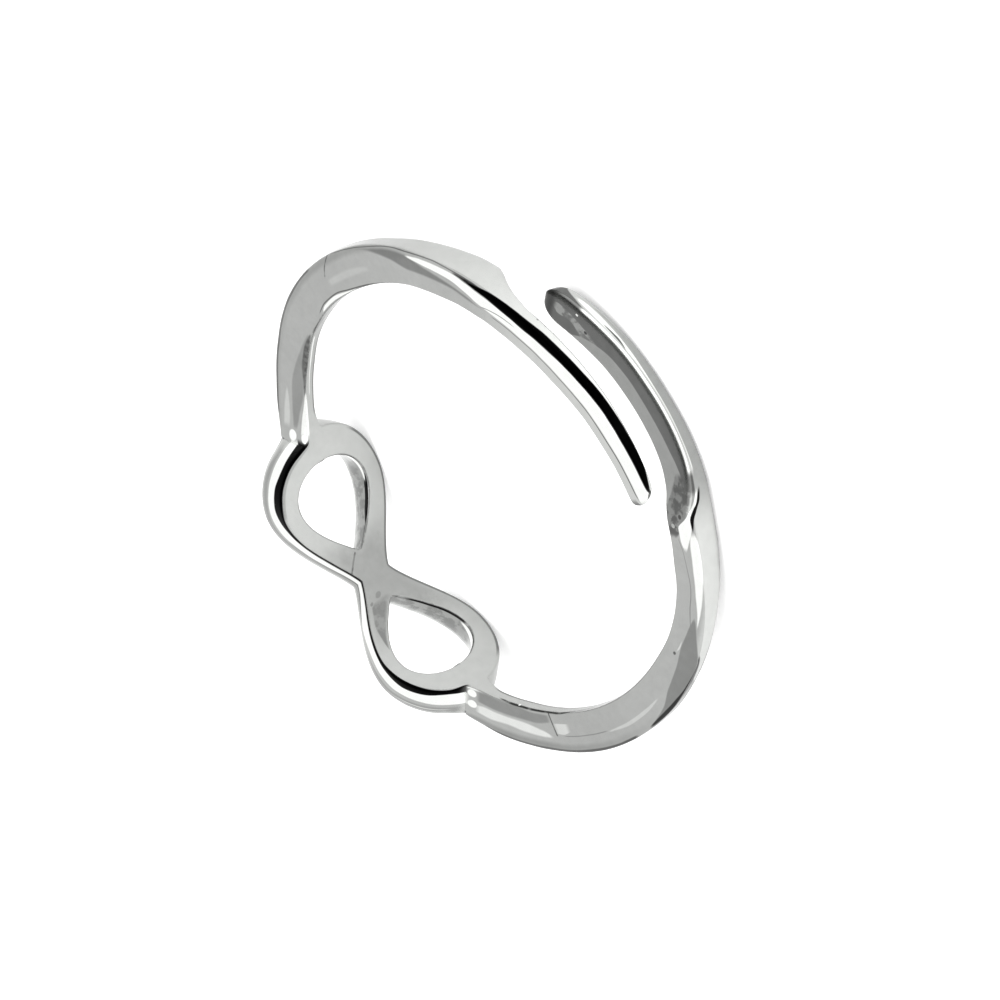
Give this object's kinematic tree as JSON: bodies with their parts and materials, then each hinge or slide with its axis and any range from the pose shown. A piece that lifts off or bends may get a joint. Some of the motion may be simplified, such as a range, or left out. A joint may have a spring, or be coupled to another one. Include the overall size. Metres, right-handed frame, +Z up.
{
  "type": "infinity ring",
  "caption": "Open finger ring with an infinity motif, whose narrow band ends in tails that pass side by side.",
  "frame": {"origin": "the point of the finger hole's axis in the surface the ring lies on", "axes": "+Z up along the finger hole's axis, +X towards the middle of the infinity, +Y towards the lobe that carries the second arm"},
  "size_m": [0.0192, 0.0196, 0.0046],
  "materials": {
    "silver": "mirror-polished silver with fine scratches and small casting pits"
  },
  "bodies": {
    "root": {"infinity_ring": "silver"}
  },
  "joints": []
}
